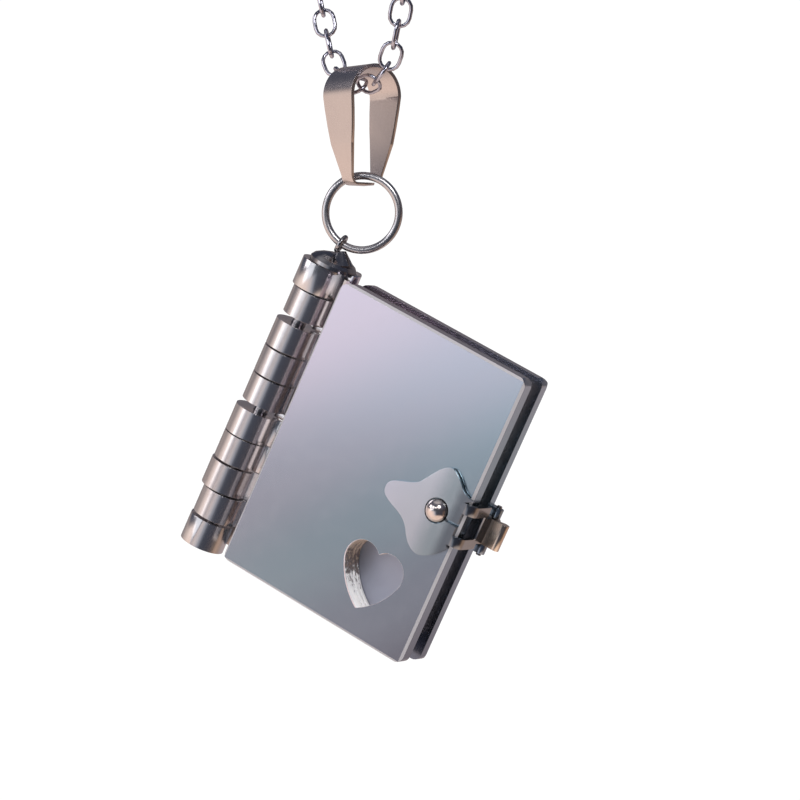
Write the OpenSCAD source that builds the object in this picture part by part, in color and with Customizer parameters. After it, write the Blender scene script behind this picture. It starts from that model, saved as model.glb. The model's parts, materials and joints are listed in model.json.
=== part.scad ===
// Book locket on a neck chain, stored hanging, in millimetres with +Z up.
// The origin is the neck rest: the underside of the clasp at the top of the chain loop.
// The locket's own frame, used by every module that starts with book_, has u across the cover
// from spine to fore-edge along X, w through the book from front to back along Y,
// and v down the spine along -Z. The module in_book() puts that frame in its hanging place.

/* [Book] */
// Width of both covers, spine edge to fore-edge
cover_w = 18.9; // [17:0.1:21]
// Height of both covers along the spine
cover_h = 26; // [26:0.1:28]
// Whole thickness of the closed book
book_t = 4.5; // [4.4:0.05:4.8]
// Thickness of the front cover
front_t = 1.4; // [1.2:0.05:1.45]
// Thickness of the back cover
back_t = 1.15; // [1:0.05:1.2]
// Thickness of each of the three pages
page_t = 0.5; // [0.4:0.02:0.5]
// Gap between neighbouring leaves
leaf_gap = 0.1; // [0.1:0.01:0.12]
// Corner radius of the covers
cover_corner = 0.7; // [0.4:0.1:1.2]
// Radius of the corner that meets the top knuckle
spine_corner = 1.1; // [0.6:0.1:1.4]
// Bevel round the outer face of each cover
cover_bevel = 0.2; // [0.1:0.02:0.3]
// How far the pages stop short of the covers' fore-edge
page_fore = 1.3; // [1.2:0.1:2.2]
// How far the pages stop short of the covers' top
page_top = 0.8; // [0.5:0.1:1.2]
// How far the pages stop short of the covers' foot
page_foot = 1.8; // [1:0.1:1.8]
// Angle of the spine from the vertical as the locket hangs
lean = 26.6; // [20:0.1:35]

/* [Heart window] */
// Distance of the heart's centre line from the fore-edge
heart_fore = 5.7; // [5:0.1:8]
// Height of the heart's tip above the covers' foot
heart_foot = 2.3; // [2.2:0.1:5]
// Radius of each lobe
lobe_r = 1.65; // [1.3:0.05:1.8]
// Half the distance between the lobes' centres
lobe_x = 1.25; // [1:0.05:1.4]
// Height of the whole heart
heart_h = 5.5; // [4.5:0.1:6]
// Angle below the level where each lobe turns into the heart's side
heart_turn = 20; // [10:1:30]

/* [Spine] */
// Outer radius of the knuckles
knuckle_r = 1.93; // [1.7:0.01:2]
// How far the lowest knuckle reaches past the covers' foot
spine_over = 0.55; // [0.2:0.05:0.8]
// Distance of the hinge axis outside the covers' spine edge
axis_out = 3.3; // [3.2:0.05:3.6]
// Radius of the hinge rod
rod_r = 0.6; // [0.4:0.02:0.7]
// Radial running clearance of the knuckles on the rod
rod_fit = 0.06; // [0.04:0.01:0.08]
// Outer radius of the rounded wall that the top knuckle raises beside the cap
wall_r = 3.28; // [3.1:0.02:3.3]
// Height of that wall above the knuckle
wall_h = 0.25; // [0.1:0.05:1.1]
// Base radius of the cap on the rod
cap_r = 2.06; // [1.8:0.02:2.2]
// Height of the cap
cap_h = 1.15; // [0.9:0.05:1.4]
// How far the cap sits off the rod's centre towards the covers
cap_off = 0.8; // [0:0.05:0.9]
// Radius of the rivet head sunk in the foot of the lowest knuckle
rivet_r = 1.1; // [0.9:0.05:1.4]
// Depth of the recess that the rivet head sits in
rivet_sink = 0.55; // [0.45:0.05:0.8]

/* [Latch] */
// Distance of the ball's centre from the fore-edge
ball_fore = 2.4; // [2.2:0.1:3]
// Distance of the ball's centre below the covers' top
ball_v = 12.95; // [11:0.05:15]
// Radius of the ball
ball_r = 1; // [0.9:0.01:1]
// Radius of the hole in the latch plate
ball_hole_r = 1.08; // [1.06:0.01:1.2]
// Thickness of the latch plate and strap
latch_t = 0.35; // [0.3:0.01:0.4]
// Gap between the latch plate and the front cover
latch_gap = 0.1; // [0.1:0.01:0.15]
// Middle of the strap below the covers' top
strap_v = 13.1; // [12.8:0.05:13.6]
// Width of the strap round the fore-edge
strap_w = 3.8; // [3.4:0.05:4.4]
// Width of the window in the strap
window_w = 2; // [1.8:0.05:2.2]
// Gap between the strap and the covers' fore-edge
strap_gap = 0.35; // [0.3:0.01:0.4]
// Distance of the latch pin outside the covers' fore-edge
pin_out = 0.65; // [0.65:0.01:0.8]
// Depth of the latch pin behind the front face
pin_w = 4.05; // [4:0.01:4.1]
// Radius of the latch barrel
barrel_r = 0.55; // [0.5:0.01:0.56]
// Length of the latch barrel
barrel_l = 2.3; // [2:0.05:2.4]
// Middle of the latch barrel below the covers' top
barrel_v = 13.35; // [13.2:0.05:13.5]
// Distance of the finger roll outside the latch pin
lip_out = 1.15; // [1:0.05:1.3]
// Radius of the finger roll
lip_r = 0.45; // [0.35:0.01:0.5]
// Radius of the latch pin
latch_pin_r = 0.22; // [0.2:0.01:0.24]
// Thickness of each of the back cover's two ears
ear_l = 0.8; // [0.5:0.05:0.9]
// Radius of the ears' rounded ends
ear_r = 0.45; // [0.42:0.01:0.5]

/* [Ring and bail] */
// Outer diameter of the jump ring
ring_d = 6.85; // [6.6:0.05:7]
// Wire diameter of the jump ring
ring_wire = 0.65; // [0.6:0.01:0.66]
// Turn of the jump ring's plane about Z
ring_turn = 18.5; // [16:0.5:22]
// Place of the eye on the ring, from its lowest point towards the spine
eye_turn = 35; // [15:1:38]
// Middle radius of the eye's own wire
eye_r = 0.66; // [0.64:0.01:0.7]
// Half the wire diameter of the eye
eye_wire = 0.2; // [0.14:0.01:0.2]
// Height of the bail
bail_h = 10.02; // [10:0.01:10.2]
// Outer radius of the bail's arch
arch_r = 2.6; // [2.5:0.02:2.8]
// Thickness of the bail's strip
bail_t = 0.32; // [0.28:0.01:0.34]
// Width of the strip over the arch
bail_w = 3.9; // [3.4:0.05:4]
// Width of the strip at its foot
bail_foot_w = 1.4; // [1:0.05:1.6]
// Outer half spacing of the limbs at the foot
foot_x = 1.6; // [1.55:0.01:1.8]
// Outer half spacing of the limbs two thirds down
belly_x = 2.2; // [2.05:0.05:2.35]

/* [Chain] */
// Length of the whole chain loop with its clasp
chain_len = 420; // [400:5:430]
// Outer length of a link
link_l = 2.69; // [2.66:0.01:2.7]
// Outer width of a link
link_w = 2; // [1.9:0.01:2.05]
// Wire diameter of a link
link_wire = 0.33; // [0.28:0.01:0.33]
// Distance from link to link
pitch = 1.87; // [1.85:0.01:1.88]
// Radius of the bend in the bail
bend_r = 4.6; // [4.4:0.05:5]
// Angle of each strand from the vertical
strand_lean = 18.5; // [16:0.1:20]
// Direction of the chain's plane about Z
chain_turn = -24.2; // [-30:0.1:-15]
// Radius of the clasp
clasp_r = 1.6; // [1.2:0.05:2]
// Room left for the clasp on each side of the top
clasp_half = 6.6; // [6:0.1:8]

/* [Hidden] */
$fn = 48;

// Chain path in its own vertical plane: a bend in the bail, two straight strands and a round top
bend_q = bend_r * cos(strand_lean);
bend_z = bend_r * (1 - sin(strand_lean));
bend_s = bend_r * (90 - strand_lean) * PI / 180;
top_k = (90 + strand_lean) * PI / 180;
strand_l = (chain_len / 2 - bend_s - bend_q / cos(strand_lean) * top_k) / (1 + tan(strand_lean) * top_k);
top_r = (bend_q + strand_l * sin(strand_lean)) / cos(strand_lean);
sag = clasp_half * clasp_half / (2 * top_r);
path_top = clasp_r + sag;
path_low = path_top - bend_z - strand_l * cos(strand_lean) - top_r * (1 + sin(strand_lean));
links_side = floor((chain_len / 2 - clasp_half) / pitch - 0.5);

// Bail, ring and book heights, all worked down from the chain's lowest point
arch_z = path_low - 0.87;
bail_z = arch_z + arch_r;
ring_r = (ring_d - ring_wire) / 2;
ring_top_z = bail_z - bail_h + bail_t + 0.175 + ring_wire / 2;
ring_z = ring_top_z - ring_r;
eye_at = [-ring_r * sin(eye_turn) * cos(ring_turn), -ring_r * sin(eye_turn) * sin(ring_turn),
          ring_z - ring_r * cos(eye_turn) - 0.03];
wc = book_t / 2;
heart_u = cover_w - heart_fore;
heart_v = cover_h - heart_foot - heart_h;
ball_u = cover_w - ball_fore;
ball_w = -0.2;
book_at = [-0.5, -wc - 0.2, ring_z - 5.6];

// Leaves: front depth, thickness, spine side, fore side, top, foot
page_step = page_t + leaf_gap;
page_w = front_t + leaf_gap;
fore = cover_w - page_fore;
low = cover_h - page_foot;
leaves = [
  [0, front_t, 0, cover_w, 0, cover_h],
  [page_w, page_t, 0.1, fore, page_top, low],
  [page_w + page_step, page_t, 0.1, fore, page_top, low],
  [page_w + 2 * page_step, page_t, 0.1, fore, page_top, low],
  [book_t - back_t, back_t, 0, cover_w, 0, cover_h]
];

// Knuckles from the top: leaf number, gap above, sideways set of the outside
knuckles = [
  [0, 0.05, 0.05], [1, 0.10, 0.30], [2, 0.72, 0.00], [3, 0.15, 0.00], [4, 0.15, 0.00],
  [0, 0.70, -0.28], [1, 0.10, -0.28], [2, 0.20, -0.38], [3, 0.10, -0.02], [4, 0.25, -0.12]
];
function gaps_to(i) = i < 0 ? 0 : knuckles[i][1] + gaps_to(i - 1);
knuckle_l = (cover_h + spine_over - gaps_to(9)) / 10;
function knuckle_v(i) = gaps_to(i) + i * knuckle_l;
spine_foot = knuckle_v(9) + knuckle_l;

// Latch plate outline: angle from the fore-edge direction, distance from the ball
star = [
  [38, 3.6], [43, 3.26], [49, 3.05], [60, 2.95], [72, 3.17], [82, 3.46], [93, 3.73], [101, 3.64],
  [112, 3.31], [125, 2.96], [140, 2.79], [152, 2.84], [162, 3.25], [170, 3.95], [175, 4.6],
  [180, 4.98], [185, 5.08], [190, 4.98], [196, 4.52], [203, 3.9], [212, 3.4], [222, 3.18], [232, 3.2],
  [242, 3.44], [252, 3.74], [263, 3.98], [272, 3.98], [283, 3.76], [293, 3.52], [303, 3.3], [314, 3.18]
];

function spline(p, i, t) =
  let (n = len(p), a = p[max(i - 1, 0)], b = p[i], c = p[i + 1], d = p[min(i + 2, n - 1)])
  b + t * (c - a) / 2 + t * t * (a - 2.5 * b + 2 * c - d / 2) + t * t * t * (1.5 * b - a / 2 - 1.5 * c + d / 2);
function smooth(p, k) = concat([for (i = [0:len(p) - 2], j = [0:k - 1]) spline(p, i, j / k)], [p[len(p) - 1]]);
function arc(x, y, r, a, b, n) = [for (i = [0:n]) [x + r * cos(a + (b - a) * i / n), y + r * sin(a + (b - a) * i / n)]];
function plate_outline(x0, x1, y0, y1, r, rs) =
  concat(arc(x1 - r, y1 - r, r, 0, 90, 5), arc(x0 + rs, y1 - rs, rs, 90, 180, 5),
         arc(x0 + r, y0 + r, r, 180, 270, 5), arc(x1 - r, y0 + r, r, 270, 360, 5));

module in_book() {
  translate(book_at) rotate([0, lean, 0]) children();
}

// Extrudes an outline drawn in u and -v through the book from depth w0 to w0 + t
module through(w0, t) {
  translate([0, w0 + t, 0]) rotate([90, 0, 0]) linear_extrude(t) children();
}

// A prism along the spine from v0 down to v1, of an outline drawn in u and w
module along(v0, v1) {
  translate([0, 0, -v1]) linear_extrude(v1 - v0) children();
}

module rod_like(r, v0, v1) {
  translate([-axis_out, wc, -v1]) cylinder(r = r, h = v1 - v0);
}

// Cover plate with a bevel on one side: face is -1 for the front cover and 1 for the back cover
module cover_plate(leaf, face, rs) {
  w0 = leaf[0];
  t = leaf[1];
  b = cover_bevel;
  out = face < 0 ? w0 : w0 + t;
  inn = face < 0 ? w0 + t : w0;
  intersection() {
    through(w0 - 0.01, t + 0.02) polygon(plate_outline(leaf[2], leaf[3], -leaf[5], -leaf[4], cover_corner, rs));
    along(-1, cover_h + 1)
      polygon([[leaf[2], inn], [leaf[2], out - face * b], [leaf[2] + b, out], [leaf[3] - b, out],
               [leaf[3], out - face * b], [leaf[3], inn]]);
    translate([-1, 0, 0]) rotate([90, 0, 90]) linear_extrude(cover_w + 2)
      polygon([[inn, 0], [out - face * b, 0], [out, -b], [out, b - cover_h],
               [out - face * b, -cover_h], [inn, -cover_h]]);
  }
}

module page_plate(leaf) {
  through(leaf[0], leaf[1]) polygon(plate_outline(leaf[2], leaf[3], -leaf[5], -leaf[4], 0.5, 0.5));
}

// The two knuckles of one leaf with the webs that join them to its plate from depth w0 to w1.
// The webs pass behind the cover's edge, so that the knuckles stay round up to it.
module knuckle_pair(n, w0, w1) {
  u0 = leaves[n][2] + 0.3;
  deep = max(w1, 3.1);
  web = [[u0, w0], [u0, w1], [-0.05, w1], [-0.5, deep], [-2.2, deep], [-2.2, max(w0, 2.6)],
         [-1.3, max(w0, 2.75)], [-0.45, max(w0, 1.25)]];
  web_gap = 0.07;
  for (i = [n, n + 5]) {
    v0 = knuckle_v(i);
    gap = knuckles[i][1];
    above = i == 0 ? -0.15 : gap > 0.4 ? 0 : gap - web_gap;
    difference() {
      union() {
        translate([-axis_out + knuckles[i][2], wc, -v0 - knuckle_l]) cylinder(r = knuckle_r, h = knuckle_l);
        along(v0 - above, min(v0 + knuckle_l, leaves[n][5] - 0.2)) polygon(web);
      }
      translate([-axis_out, wc, -v0 - knuckle_l - 1]) cylinder(r = rod_r + rod_fit, h = knuckle_l + 2);
      if (i == 9) rod_like(rivet_r + rod_fit, spine_foot - rivet_sink, spine_foot + 1);
    }
  }
}

// Heart outline: two lobes, and two long arcs that leave the lobes smoothly and meet at the tip
function heart_points() =
  let (cy = -heart_v - lobe_r, n = [cos(heart_turn), -sin(heart_turn)], a = [-lobe_x, lobe_r - heart_h],
       k = acos(lobe_x / lobe_r), m = a * n,
       big = (a * a + lobe_r * lobe_r - 2 * lobe_r * m) / (2 * (lobe_r - m)),
       cx = lobe_x + (lobe_r - big) * n[0], by = cy + (lobe_r - big) * n[1],
       tip = atan2(-heart_v - heart_h - by, -cx))
  concat([[heart_u, -heart_v - heart_h]], arc(heart_u + cx, by, big, tip + 2, -heart_turn - 1, 8),
         arc(heart_u + lobe_x, cy, lobe_r, -heart_turn, 180 - k, 14),
         arc(heart_u - lobe_x, cy, lobe_r, k + 1, 180 + heart_turn, 14),
         arc(heart_u - cx, by, big, 181 + heart_turn, 178 - tip, 8));

module heart_cut(leaf) {
  through(leaf[0] - 1, leaf[1] + 2) polygon(heart_points());
}

module front_cover() {
  color([0.72, 0.73, 0.76]) in_book() {
    difference() {
      union() {
        cover_plate(leaves[0], -1, spine_corner);
        knuckle_pair(0, front_t - 0.35, front_t - 0.05);
        difference() {
          intersection() {
            rod_like(wall_r, -wall_h, knuckle_l - 0.1);
            along(-wall_h - 1, knuckle_l)
              polygon([[-2.6, 2.9], [-0.6, 1.9], [0.5, 1.9], [0.5, book_t - 0.3], [-0.8, book_t], [-2.6, book_t]]);
          }
          translate([-axis_out, wc, 0]) cylinder(r = cap_off + cap_r + 0.1, h = 2);
          rod_like(knuckle_r - 0.4, -1, knuckle_l + 1);
        }
      }
      heart_cut(leaves[0]);
      translate([ball_u, -1, -ball_v]) rotate([-90, 0, 0]) cylinder(r = 0.5, h = 2.1);
    }
  }
}

module page_1() {
  color([0.66, 0.66, 0.68]) in_book() difference() {
    union() {
      page_plate(leaves[1]);
      knuckle_pair(1, leaves[1][0] + 0.05, leaves[1][0] + page_t - 0.05);
    }
    heart_cut(leaves[1]);
  }
}

module page_2() {
  color([0.66, 0.66, 0.68]) in_book() difference() {
    union() {
      page_plate(leaves[2]);
      knuckle_pair(2, leaves[2][0] + 0.05, leaves[2][0] + page_t - 0.05);
    }
    heart_cut(leaves[2]);
  }
}

module page_3() {
  color([0.66, 0.66, 0.68]) in_book() {
    page_plate(leaves[3]);
    knuckle_pair(3, leaves[3][0] + 0.05, leaves[3][0] + page_t - 0.05);
  }
}

module ear(v0) {
  pu = cover_w + pin_out;
  along(v0, v0 + ear_l) polygon([[cover_w - 0.4, pin_w - ear_r], [pu, pin_w - ear_r], [pu, pin_w + ear_r],
                                 [cover_w - 0.4, pin_w + ear_r]]);
  translate([pu, pin_w, -v0 - ear_l]) cylinder(r = ear_r, h = ear_l);
}

// Tooth that stands behind the wide notch above knuckle i
module spine_tooth(i) {
  fit = 0.1;
  along(knuckle_v(i) - knuckles[i][1] + fit, knuckle_v(i) - fit)
    polygon([[0.3, book_t - back_t + 0.1], [-0.15, book_t - back_t + 0.1], [-0.5, 2.9], [-2.3, 2.9],
             [-2.3, book_t - 0.2], [0.3, book_t - 0.2]]);
}

module back_cover() {
  ear_gap = 0.1;
  color([0.70, 0.71, 0.74]) in_book() {
    knuckle_pair(4, book_t - back_t + 0.05, book_t - back_t + 0.5);
    difference() {
      union() {
        cover_plate(leaves[4], 1, spine_corner);
        for (i = [2, 5]) spine_tooth(i);
        ear(barrel_v - barrel_l / 2 - ear_gap - ear_l);
        ear(barrel_v + barrel_l / 2 + ear_gap);
      }
      translate([cover_w + pin_out, pin_w, -cover_h]) cylinder(r = latch_pin_r + 0.02, h = cover_h);
    }
  }
}

// Rod with its cap and eye above the top knuckle and a rivet head sunk in the lowest
module hinge_pin() {
  cap_v = -0.08;
  cap = [[0, 0], [cap_r, 0], [cap_r, 0.3], [cap_r - 0.22, 0.58], [cap_r - 0.75, 0.88], [cap_r - 1.4, cap_h - 0.05], [0, cap_h]];
  color([0.35, 0.35, 0.38]) {
    in_book() {
      rod_like(rod_r, cap_v - 0.5, spine_foot - 0.2);
      rod_like(rivet_r, spine_foot - rivet_sink + 0.1, spine_foot - 0.1);
      translate([cap_off - axis_out, wc, -cap_v]) rotate_extrude() polygon(cap);
    }
    translate(eye_at) rotate([0, 90 - eye_turn, 180 + ring_turn])
      rotate_extrude() translate([eye_r, 0]) circle(r = eye_wire);
    translate([eye_at[0], eye_at[1], eye_at[2] - 1.9]) cylinder(r1 = 1.05, r2 = 0.42, h = 1.28);
  }
}

module ball_stud() {
  color([0.5, 0.5, 0.53]) in_book() {
    intersection() {
      translate([ball_u, ball_w, -ball_v]) sphere(r = ball_r);
      translate([ball_u - 2, -3, -ball_v - 2]) cube([4, 2.94, 4]);
    }
    translate([ball_u, -0.3, -ball_v]) rotate([-90, 0, 0]) cylinder(r = 0.45, h = 1.3);
  }
}

// Star plate over the front cover, strap with a window round the fore-edge, barrel and finger roll
module latch() {
  w_in = -latch_gap;
  w_out = -latch_gap - latch_t;
  x_in = cover_w + strap_gap;
  x_out = x_in + latch_t;
  pu = cover_w + pin_out;
  lu = pu + lip_out;
  lw = pin_w - 0.25;
  bx = cover_w - 0.2;
  bw = w_out + x_out - bx;
  neck = [[x_in, 2.3], [x_out, 2.3], [x_out + 0.1, lw - 0.45], [lu, lw - lip_r], [lu, lw], [pu, pin_w + 0.3], [x_in, pin_w - 0.2]];
  side = concat([[bx - 0.7, w_in], [bx - 0.7, w_out]], arc(bx, bw, x_out - bx, 270, 360, 8), [[x_out, 2.6]],
                [[x_in, 2.6]], arc(bx, bw, x_in - bx, 360, 270, 8));
  color([0.75, 0.75, 0.78]) in_book() difference() {
    union() {
      through(w_out, latch_t)
        polygon(concat([for (p = smooth(star, 3)) [ball_u + p[1] * cos(p[0]), -ball_v + p[1] * sin(p[0])]],
                       [[bx - 0.2, -strap_v - strap_w / 2], [bx - 0.2, -strap_v + strap_w / 2]]));
      along(strap_v - strap_w / 2, strap_v + strap_w / 2) polygon(side);
      along(barrel_v - barrel_l / 2, barrel_v + barrel_l / 2) polygon(neck);
      translate([pu, pin_w, -barrel_v - barrel_l / 2]) cylinder(r = barrel_r, h = barrel_l);
      translate([lu, lw, -barrel_v - barrel_l / 2]) cylinder(r = lip_r, h = barrel_l);
    }
    translate([ball_u, -2, -ball_v]) rotate([-90, 0, 0]) cylinder(r = ball_hole_r, h = 2.2);
    translate([ball_u + 0.8, -2, -strap_v - 0.25]) cube([bx - ball_u, 2.2, 0.25]);
    translate([bx, -2, -strap_v - window_w / 2]) cube([2, 4.2, window_w]);
    translate([pu, pin_w, -cover_h]) cylinder(r = latch_pin_r + 0.06, h = cover_h);
  }
}

module latch_pin() {
  v0 = barrel_v - barrel_l / 2 - ear_l - 0.3;
  v1 = barrel_v + barrel_l / 2 + ear_l + 0.3;
  color([0.55, 0.55, 0.58]) in_book()
    translate([cover_w + pin_out, pin_w, -v1]) cylinder(r = latch_pin_r, h = v1 - v0);
}

module jump_ring() {
  color([0.42, 0.42, 0.46]) translate([0, 0, ring_z]) rotate([90, 0, ring_turn])
    rotate_extrude() translate([ring_r, 0]) circle(d = ring_wire);
}

// Loop outline of the bail: an arch of radius r, sides that leave it smoothly, bend a little at the
// half spacing m and run in to the half spacing f, and a foot rounded by c
function loop(r, f, m, h, c) =
  let (y = 0.66 * h, d = y - r, b = asin(r / sqrt(m * m + d * d)) - atan2(m, d))
  concat(arc(0, -r, r, -b, 180 + b, 32), [[-m, -y]], arc(c - f, c - h, c, 191, 270, 4),
         arc(f - c, c - h, c, 270, 349, 4), [[m, -y]]);

// Folded strip: the loop drawn across the chain, narrowed towards its foot by a second prism
module bail() {
  t = bail_t;
  h = bail_h;
  f = foot_x;
  ease = 0.1;
  side = [[bail_w / 2, 1], [bail_w / 2, -2.6], [bail_w / 2 - 0.1, -3.8], [bail_w / 2 - 0.28, -5.2],
          [bail_w / 2 - 0.54, -6.6], [bail_foot_w / 2, 0.8 - h], [bail_foot_w / 2, -h - 1]];
  taper = concat(side, [for (i = [len(side) - 1:-1:0]) [-side[i][0], side[i][1]]]);
  color([0.62, 0.58, 0.58]) translate([0, 0, bail_z]) intersection() {
    rotate([90, 0, 90 + chain_turn]) difference() {
      translate([0, 0, -bail_w / 2]) linear_extrude(bail_w) polygon(loop(arch_r, f, belly_x, h, 0.7));
      translate([0, -t, -bail_w]) linear_extrude(2 * bail_w)
        polygon(loop(arch_r - t, f - t + ease / 2, belly_x - t, h - 2 * t + ease, 0.35));
      translate([f - 1.05, -h - 0.5, -bail_w]) linear_extrude(2 * bail_w)
        polygon([[0, 0], [0.8, 0], [1.25, 1.1], [1.05, 1.2], [0.3, 0.9]]);
    }
    rotate([90, 0, chain_turn]) translate([0, 0, -5]) linear_extrude(10) polygon(taper);
  }
}

// One oval link along X
module link() {
  r = (link_w - link_wire) / 2;
  s = (link_l - link_w) / 2;
  for (m = [-1, 1]) {
    translate([m * s, 0, 0]) rotate([0, 0, -90 * m]) rotate_extrude(angle = 180, $fn = 32)
      translate([r, 0]) circle(d = link_wire, $fn = 16);
    translate([0, m * r, 0]) rotate([0, 90, 0]) cylinder(d = link_wire, h = 2 * s, center = true, $fn = 16);
  }
}

function link_s(i) = (i + 0.5) * pitch;
// Distance along the path to sideways place, height and heading
function on_path(s) =
  s <= bend_s ?
    let (a = s / bend_r * 180 / PI) [bend_r * sin(a), path_low + bend_r * (1 - cos(a)), a] :
  s <= bend_s + strand_l ?
    let (d = s - bend_s) [bend_q + d * sin(strand_lean), path_low + bend_z + d * cos(strand_lean), 90 - strand_lean] :
    let (a = 90 - strand_lean + (s - bend_s - strand_l) / top_r * 180 / PI)
    [top_r * sin(a), path_top - top_r - top_r * cos(a), a];

// Places its child at link i of one strand: side is 1 on the right and -1 on the left
module at_link(i, side) {
  p = on_path(link_s(i));
  roll = (i % 2 == 0 ? -45 : 45) * side;
  rotate([0, 0, chain_turn]) translate([side * p[0], 0, p[1]]) rotate([0, -side * p[2], 0])
    rotate([roll, 0, 0]) children();
}

module chain_right() {
  color([0.33, 0.35, 0.42]) for (i = [0:links_side - 1]) at_link(i, 1) link();
}

module chain_left() {
  color([0.33, 0.35, 0.42]) for (i = [0:links_side - 1]) at_link(i, -1) link();
}

// Plain clasp: a straight barrel with a link-shaped eye at each end
module chain_clasp() {
  p = on_path(link_s(links_side));
  half = p[0] - 0.2;
  body = [[0, -half], [0.7, -half], [clasp_r, 1 - half], [clasp_r, half - 1], [0.7, half], [0, half]];
  color([0.45, 0.45, 0.5]) {
    for (m = [-1, 1]) at_link(links_side, m) link();
    rotate([0, 0, chain_turn]) translate([0, 0, clasp_r]) rotate([0, 90, 0]) rotate_extrude() polygon(body);
  }
}

chain_left();
chain_right();
chain_clasp();
bail();
jump_ring();
hinge_pin();
front_cover();
page_1();
page_2();
page_3();
back_cover();
ball_stud();
latch();
latch_pin();
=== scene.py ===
# %% [markdown]
# # Book locket on a cable chain
#
# The locket is a small steel book that hangs on a fine chain: two covers and three pages on one
# hinge rod, a latch that snaps over a ball, a ring and a folded bail. The solids that the frame
# loads already have the right shapes, in the right places. This script makes them look like a
# thing that has been worn. It rounds the plates' edges, makes the chain again as a light mesh,
# gives each metal its finish, and sets up the camera, the lights and a pale floor.
#
# Blender's unit is the metre. A jeweller thinks in millimetres, so the locket's sizes are
# written in millimetres and multiplied by MM. The studio's sizes are in metres.

import json
import math

import bmesh
import bpy
import numpy as np
from mathutils import Matrix


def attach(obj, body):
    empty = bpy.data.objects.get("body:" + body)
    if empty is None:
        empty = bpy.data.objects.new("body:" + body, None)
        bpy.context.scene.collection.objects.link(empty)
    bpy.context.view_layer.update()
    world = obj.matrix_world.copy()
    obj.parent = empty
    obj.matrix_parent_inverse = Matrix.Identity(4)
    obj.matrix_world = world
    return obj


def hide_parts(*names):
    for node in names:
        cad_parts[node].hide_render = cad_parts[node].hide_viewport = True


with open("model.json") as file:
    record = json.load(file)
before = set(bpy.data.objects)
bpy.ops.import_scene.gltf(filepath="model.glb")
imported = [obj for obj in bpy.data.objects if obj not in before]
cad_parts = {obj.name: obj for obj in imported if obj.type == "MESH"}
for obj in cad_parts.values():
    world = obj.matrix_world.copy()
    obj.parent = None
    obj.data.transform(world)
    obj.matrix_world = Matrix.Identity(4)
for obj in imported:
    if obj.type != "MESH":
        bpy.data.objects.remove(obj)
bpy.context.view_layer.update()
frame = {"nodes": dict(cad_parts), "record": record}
scene = bpy.context.scene
MM = 0.001
body_of_node = {n: b for b, nodes in frame["record"]["behaviour"]["bodies"].items() for n in nodes}
print("nodes and their bodies", body_of_node)

# %% [markdown]
# ## Camera
#
# The locket was photographed with a long lens, level with the book and from the front, turned
# about thirty degrees towards its fore-edge, so its edges hardly run together. A camera could be
# turned with three angles. Two points are easier to read: where it stands, and what it looks at.

# %% Camera
CAMERA_AT = np.array([139.33, -255.87, -199.67]) * MM
CAMERA_AIM = np.array([3.674, -0.2, -199.532]) * MM
# Focal length and film width, in millimetres
LENS, FILM = 157.54, 36.0
# Nearest and farthest distance that the camera draws
NEAR, FAR = 0.01, 20.0


def look(at, aim):
    """Rotation matrix of an object at one point whose -Z axis runs to another, with +Y up.

    back = (at - aim)/|at - aim|, right = Z x back, up = back x right
    """
    back = (at - aim) / np.linalg.norm(at - aim)
    right = np.cross([0.0, 0.0, 1.0], back)
    right /= np.linalg.norm(right)
    m = np.eye(4)
    m[:3, 0], m[:3, 1], m[:3, 2], m[:3, 3] = right, np.cross(back, right), back, at
    return Matrix(m.tolist())


cam_data = bpy.data.cameras.new("camera")
cam_data.lens = LENS
cam_data.sensor_width = FILM
cam_data.sensor_fit = "HORIZONTAL"
cam_data.clip_start, cam_data.clip_end = NEAR, FAR
cam = bpy.data.objects.new("camera", cam_data)
scene.collection.objects.link(cam)
cam.matrix_world = look(CAMERA_AT, CAMERA_AIM)
scene.camera = cam
far_off = float(np.linalg.norm(CAMERA_AT - CAMERA_AIM)) / MM
print("camera", round(far_off), "mm from the book, lens", LENS)

# %% [markdown]
# ## Places on the book
#
# The locket hangs askew from the eye at the top of its spine, so the book is turned about the
# world's Y axis. A place on it is easier to give in the book's own directions: u from the spine
# to the fore-edge, w from the front to the back, and v down the spine. The part's source uses
# the same three, so the numbers can be compared.

# %% Places on the book
LEAN = math.radians(26.6)
BOOK_AT = np.array([-0.5, -2.45, -189.56]) * MM
AXIS_U = np.array([math.cos(LEAN), 0.0, -math.sin(LEAN)])
AXIS_V = np.array([-math.sin(LEAN), 0.0, -math.cos(LEAN)])
AXIS_W = np.array([0.0, 1.0, 0.0])


def book(u, w, v):
    """World point of book coordinates in millimetres: P = B + u U + w W + v V."""
    return BOOK_AT + (u * AXIS_U + w * AXIS_W + v * AXIS_V) * MM


print("front cover from", book(0, 0, 0).round(4), "to", book(18.9, 0, 26).round(4))

# %% [markdown]
# ## Wiring a finish
#
# A finish in Blender is a tree of nodes, each of which does one small sum for every point of the
# surface. Added one by one they take up many lines, so each helper here adds one node, gives it
# numbers or joins other nodes to it, and hands back its result. The finishes below then read
# almost like formulas.

# %% Sums and colours
def wire(tree, socket, value):
    """Set a socket to a number or a colour, or join another node's output to it."""
    if isinstance(value, (int, float)):
        socket.default_value = value
    elif isinstance(value, tuple):
        socket.default_value = (*value, 1.0)
    else:
        tree.links.new(value, socket)


def work_out(tree, sum_of, a, b=0.0, clamp=False):
    """One sum of two values, such as ADD or MULTIPLY, kept between 0 and 1 with clamp."""
    n = tree.nodes.new("ShaderNodeMath")
    n.operation = sum_of
    n.use_clamp = clamp
    wire(tree, n.inputs[0], a)
    wire(tree, n.inputs[1], b)
    return n.outputs[0]


def product(tree, *values):
    """Product of several masks."""
    total = values[0]
    for value in values[1:]:
        total = work_out(tree, "MULTIPLY", total, value)
    return total


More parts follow.
